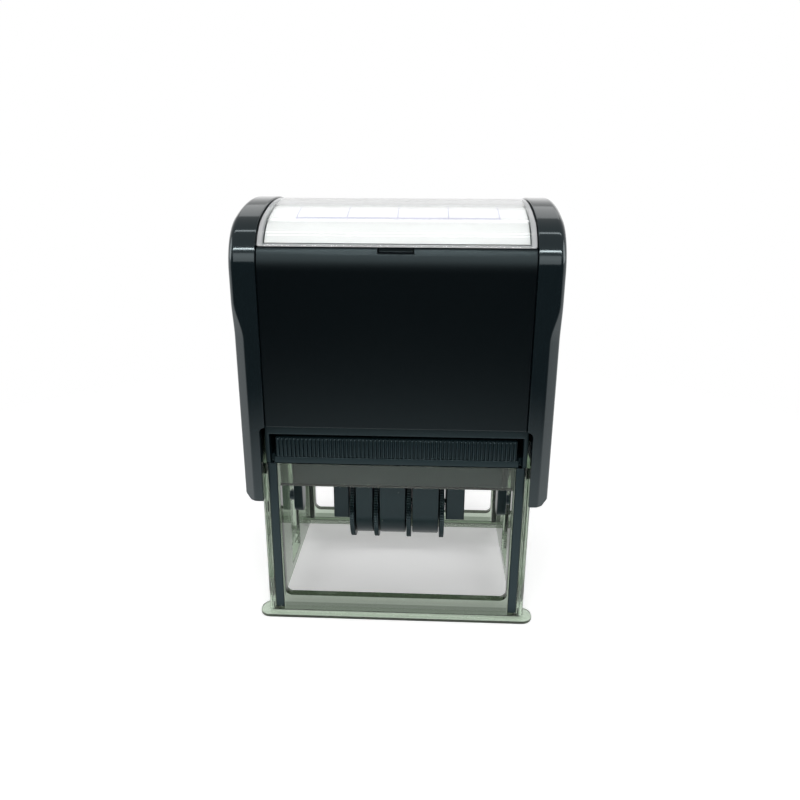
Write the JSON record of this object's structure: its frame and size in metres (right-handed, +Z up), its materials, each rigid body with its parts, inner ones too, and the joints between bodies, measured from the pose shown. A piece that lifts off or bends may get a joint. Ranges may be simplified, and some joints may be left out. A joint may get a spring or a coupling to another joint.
{
  "type": "self-inking date stamp",
  "caption": "Self-inking date stamp with a clear base, a push handle under an index window, an ink cassette and a die with date wheels that turns over on its way down.",
  "frame": {"origin": "centre of the base's underside, on the paper", "axes": "+X to the right seen from the front, -Y to the front, +Z up"},
  "size_m": [0.0708, 0.0544, 0.1002],
  "materials": {
    "clear_base": "clear sage-green, glossy",
    "clear_window": "clear, glossy",
    "gloss_black": "polished",
    "satin_black": "fine satin grain",
    "frame_black": "moulded satin",
    "card": "plain white card",
    "felt": "felt soaked with dark ink",
    "rubber": "moulded rubber",
    "steel": "drawn wire and pins"
  },
  "bodies": {
    "base": {"base_frame": "clear_base", "skeleton": "frame_black", "left_return_spring": "steel", "right_return_spring": "steel"},
    "cassette": {"pad_cassette": "frame_black", "ink_pad": "felt"},
    "handle": {"handle_shell": "satin_black", "left_cheek": "gloss_black", "right_cheek": "gloss_black", "index_card": "card"},
    "window": {"index_window": "clear_window"},
    "carriage": {"die_holder": "frame_black", "text_plate": "frame_black", "text_die": "rubber", "left_flip_lever": "frame_black", "right_flip_lever": "frame_black", "trunnion_pins": "steel", "date_cage": "frame_black", "wheel_axle": "steel", "band_bridge": "frame_black", "day_tens_band": "rubber", "day_units_band": "rubber", "month_band": "rubber", "year_band": "rubber"},
    "day_tens_setter": {"day_tens_wheel": "frame_black"},
    "day_units_setter": {"day_units_wheel": "frame_black"},
    "month_setter": {"month_wheel": "frame_black"},
    "year_setter": {"year_wheel": "frame_black"}
  },
  "joints": [
    {"name": "handle_press", "type": "slide", "parent": "base", "child": "handle", "axis": [0, 0, -1], "range_m": [0, 0.0292], "stiffness_N_per_m": 600, "springref_m": -0.012, "deforming": ["left_return_spring", "right_return_spring"]},
    {"name": "die_flip", "type": "hinge", "parent": "handle", "child": "carriage", "pos_m": [0, 0, 0.0355], "axis": [1, 0, 0], "range_deg": [0, 180]},
    {"name": "pad_slide", "type": "slide", "parent": "base", "child": "cassette", "axis": [0, 1, 0], "range_m": [-0.044, 0]},
    {"name": "window_lift", "type": "slide", "parent": "handle", "child": "window", "axis": [0, 0, 1], "range_m": [0, 0.02]},
    {"name": "day_tens_spin", "type": "hinge", "parent": "carriage", "child": "day_tens_setter", "pos_m": [0, 0, 0.0193], "axis": [1, 0, 0], "continuous": true},
    {"name": "day_units_spin", "type": "hinge", "parent": "carriage", "child": "day_units_setter", "pos_m": [0, 0, 0.0193], "axis": [1, 0, 0], "continuous": true},
    {"name": "month_spin", "type": "hinge", "parent": "carriage", "child": "month_setter", "pos_m": [0, 0, 0.0193], "axis": [1, 0, 0], "continuous": true},
    {"name": "year_spin", "type": "hinge", "parent": "carriage", "child": "year_setter", "pos_m": [0, 0, 0.0193], "axis": [1, 0, 0], "continuous": true}
  ],
  "couplings": [
    {"joint": "die_flip", "follows": "handle_press", "rad_per_m": 107.58}
  ]
}
